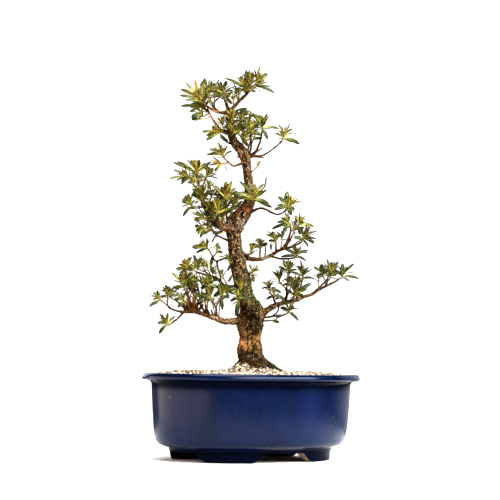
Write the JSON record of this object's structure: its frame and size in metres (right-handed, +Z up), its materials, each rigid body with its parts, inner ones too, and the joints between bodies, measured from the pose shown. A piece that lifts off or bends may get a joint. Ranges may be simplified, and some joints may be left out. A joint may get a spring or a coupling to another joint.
{
  "type": "satsuki azalea bonsai",
  "caption": "Satsuki azalea trained as an informal upright bonsai, with a bare twisting trunk and tufted leafy shoots, in a glazed oval pot.",
  "frame": {"origin": "middle of the pot on the surface its feet stand on", "axes": "+X along the pot's long axis, +Y across it, +Z up; the tree's front faces the direction (-0.55, -0.84, 0)"},
  "size_m": [0.3, 0.234, 0.5081],
  "materials": {
    "glaze": "deep cobalt blue gloss glaze over stoneware",
    "soil": "coarse dry grains, cream, tan and brown",
    "screen": "black plastic mesh",
    "wire": "bare soft aluminium wire",
    "bark": "rough flaking bark, dark brown with grey and tan flecks and some moss",
    "leaf": "semi-gloss leathery leaves, dark green outside, yellow-green and golden when young"
  },
  "bodies": {
    "root": {"pot": "glaze", "soil": "soil", "drain_screen_left": "screen", "drain_screen_right": "screen", "screen_clip_left": "wire", "screen_clip_right": "wire", "wood": "bark", "leaves_crown_left": "leaf", "leaves_crown_left_low": "leaf", "leaves_crown_back_left": "leaf", "leaves_crown_middle": "leaf", "leaves_crown_right": "leaf", "leaves_crown_back_right": "leaf", "leaves_crown_front": "leaf", "leaves_crown_inner": "leaf", "leaves_upper_right": "leaf", "leaves_upper_right_front": "leaf", "leaves_upper_right_end": "leaf", "leaves_upper_back": "leaf", "leaves_upper_left": "leaf", "leaves_left_upper_end": "leaf", "leaves_left_upper_inner": "leaf", "leaves_left_upper_front": "leaf", "leaves_left_upper_back": "leaf", "leaves_fork_tall": "leaf", "leaves_fork_golden": "leaf", "leaves_fork_back": "leaf", "leaves_trunk_front": "leaf", "leaves_right_high": "leaf", "leaves_left_drooping": "leaf", "leaves_left_pair": "leaf", "leaves_left_mid_end": "leaf", "leaves_left_mid_back": "leaf", "leaves_left_mid_inner": "leaf", "leaves_trunk_left": "leaf", "leaves_left_low_up": "leaf", "leaves_left_low_front": "leaf", "leaves_left_low_end": "leaf", "leaves_left_low_hanging": "leaf", "leaves_left_low_back": "leaf", "leaves_left_low_far": "leaf", "leaves_left_low_stub": "leaf", "leaves_left_low_inner": "leaf", "leaves_trunk_sprout": "leaf", "leaves_trunk_spur": "leaf", "leaves_right_mid_first": "leaf", "leaves_right_mid_second": "leaf", "leaves_right_mid_top": "leaf", "leaves_right_mid_back": "leaf", "leaves_right_mid_end": "leaf", "leaves_right_mid_low": "leaf", "leaves_right_low_tall": "leaf", "leaves_right_low_middle": "leaf", "leaves_right_low_inner": "leaf", "leaves_right_low_golden": "leaf", "leaves_right_low_back": "leaf", "leaves_right_low_pair": "leaf", "leaves_right_low_far": "leaf", "leaves_right_low_end": "leaf", "leaves_right_low_hanging": "leaf"}
  },
  "joints": []
}
